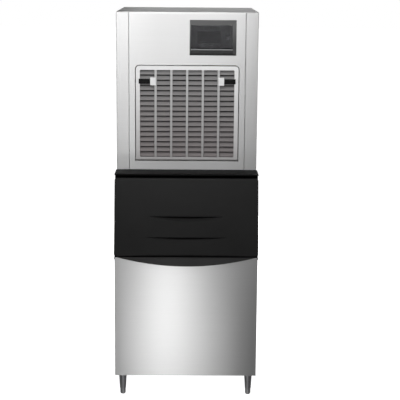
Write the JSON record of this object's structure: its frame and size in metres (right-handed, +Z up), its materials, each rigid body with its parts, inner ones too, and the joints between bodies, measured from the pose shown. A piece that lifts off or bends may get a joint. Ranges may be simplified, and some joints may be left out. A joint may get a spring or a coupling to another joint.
{
  "type": "granular ice machine",
  "caption": "Air-cooled granular ice maker head on an insulated storage bin, with a sloped lift-up door, tilting filter grille, control window and levelling feet.",
  "frame": {"origin": "on the floor, at the middle of the footprint between the sill lip's front and the rear fittings", "axes": "+Z up, +X to the machine's right seen from the front, +Y to its back"},
  "size_m": [0.566, 0.83, 1.51],
  "materials": {
    "brushed_steel": "brushed, fine horizontal grain",
    "galvanised_steel": "galvanised, dull",
    "black_moulding": "fine moulded grain, satin",
    "grille_plastic": "satin moulded, light grey",
    "filter_mesh": "woven mesh in a moulded frame",
    "smoked_plastic": "smoked, clear gloss",
    "black_gloss": "glossy moulded",
    "button_plastic": "satin moulded",
    "indicator_lens": "tinted lens",
    "liner_plastic": "smooth moulded, cool white",
    "foam": "closed-cell foam",
    "seal_rubber": "soft, matt",
    "leg_steel": "dull plated",
    "aluminium_fins": "mill finish",
    "compressor_paint": "black enamel",
    "cast_housing": "grey painted casting",
    "auger_steel": "turned and polished",
    "white_plastic": "moulded",
    "brass_fitting": "machined"
  },
  "bodies": {
    "cabinet": {"bin_front_panel": "brushed_steel", "bin_left_side_panel": "brushed_steel", "bin_right_side_panel": "brushed_steel", "bin_rear_panel": "galvanised_steel", "bin_base_panel": "galvanised_steel", "bin_top_plate": "brushed_steel", "bin_liner": "liner_plastic", "bin_insulation": "foam", "bin_drain": "white_plastic", "door_frame": "black_moulding", "door_hinge_pins": "leg_steel", "sill_lip": "black_moulding", "legs": "leg_steel", "bin_level_sensor": "white_plastic", "head_base_pan": "galvanised_steel", "head_left_side_panel": "brushed_steel", "head_right_side_panel": "brushed_steel", "head_front_panel": "brushed_steel", "head_rear_panel": "galvanised_steel", "head_top_panel": "brushed_steel", "filter_surround": "black_moulding", "grille_hinge_pins": "leg_steel", "control_bezel": "black_moulding", "control_plate": "black_moulding", "display_window": "black_gloss", "indicator_lights": "indicator_lens", "condenser_coil": "aluminium_fins", "fan_shroud": "galvanised_steel", "fan_motor": "compressor_paint", "compressor_mounts": "seal_rubber", "compressor": "compressor_paint", "gear_motor": "cast_housing", "evaporator_barrel": "foam", "ice_head": "auger_steel", "ice_chute": "liner_plastic", "water_reservoir": "white_plastic", "float_pin": "leg_steel", "water_inlet_valve": "brass_fitting", "power_inlet": "black_gloss", "electrical_box": "galvanised_steel"},
    "bin_door": {"door_outer_panel": "black_moulding", "door_insulation": "foam", "door_inner_panel": "liner_plastic", "door_gasket": "seal_rubber"},
    "grille": {"filter_grille": "grille_plastic", "air_filter": "filter_mesh"},
    "latch_left": {"left_latch": "black_gloss"},
    "latch_right": {"right_latch": "black_gloss"},
    "window_cover": {"control_cover": "smoked_plastic"},
    "rocker": {"power_switch": "black_gloss"},
    "button_start": {"start_button": "button_plastic"},
    "button_clean": {"clean_button": "button_plastic"},
    "fan": {"fan_blade": "aluminium_fins"},
    "ice_auger": {"auger": "auger_steel"},
    "water_float": {"float_lever": "white_plastic"},
    "foot_front_left": {"front_left_foot": "leg_steel"},
    "foot_front_right": {"front_right_foot": "leg_steel"},
    "foot_rear_left": {"rear_left_foot": "leg_steel"},
    "foot_rear_right": {"rear_right_foot": "leg_steel"}
  },
  "joints": [
    {"name": "bin_door_hinge", "type": "hinge", "parent": "cabinet", "child": "bin_door", "pos_m": [0, -0.29796, 0.86003], "axis": [-1, 0, 0], "range_deg": [0, 85]},
    {"name": "grille_tilt", "type": "hinge", "parent": "cabinet", "child": "grille", "pos_m": [0, -0.194, 0.93], "axis": [1, 0, 0], "range_deg": [0, 35]},
    {"name": "left_latch_slide", "type": "slide", "parent": "grille", "child": "latch_left", "axis": [1, 0, 0], "range_m": [0, 0.009], "stiffness_N_per_m": 150, "springref_m": -0.004},
    {"name": "right_latch_slide", "type": "slide", "parent": "grille", "child": "latch_right", "axis": [-1, 0, 0], "range_m": [0, 0.009], "stiffness_N_per_m": 150, "springref_m": -0.004},
    {"name": "window_cover_hinge", "type": "hinge", "parent": "cabinet", "child": "window_cover", "pos_m": [0.096, -0.2095, 1.459], "axis": [-1, 0, 0], "range_deg": [0, 95]},
    {"name": "power_rocker", "type": "hinge", "parent": "cabinet", "child": "rocker", "pos_m": [0.158, -0.1865, 1.411], "axis": [1, 0, 0], "range_deg": [0, 8]},
    {"name": "start_button_press", "type": "slide", "parent": "cabinet", "child": "button_start", "axis": [0, 1, 0], "range_m": [0, 0.0015], "stiffness_N_per_m": 400, "springref_m": -0.001},
    {"name": "clean_button_press", "type": "slide", "parent": "cabinet", "child": "button_clean", "axis": [0, 1, 0], "range_m": [0, 0.0015], "stiffness_N_per_m": 400, "springref_m": -0.001},
    {"name": "fan_spin", "type": "hinge", "parent": "cabinet", "child": "fan", "pos_m": [0, -0.06, 1.1115], "axis": [0, -1, 0], "continuous": true},
    {"name": "auger_spin", "type": "hinge", "parent": "cabinet", "child": "ice_auger", "pos_m": [0.15, 0.18, 1.1], "axis": [0, 0, 1], "continuous": true},
    {"name": "float_swing", "type": "hinge", "parent": "cabinet", "child": "water_float", "pos_m": [0.238, 0.3415, 1.238], "axis": [0, 1, 0], "range_deg": [0, 18]},
    {"name": "front_left_foot_screw", "type": "slide", "parent": "cabinet", "child": "foot_front_left", "axis": [0, 0, -1], "range_m": [0, 0.02]},
    {"name": "front_right_foot_screw", "type": "slide", "parent": "cabinet", "child": "foot_front_right", "axis": [0, 0, -1], "range_m": [0, 0.02]},
    {"name": "rear_left_foot_screw", "type": "slide", "parent": "cabinet", "child": "foot_rear_left", "axis": [0, 0, -1], "range_m": [0, 0.02]},
    {"name": "rear_right_foot_screw", "type": "slide", "parent": "cabinet", "child": "foot_rear_right", "axis": [0, 0, -1], "range_m": [0, 0.02]}
  ]
}
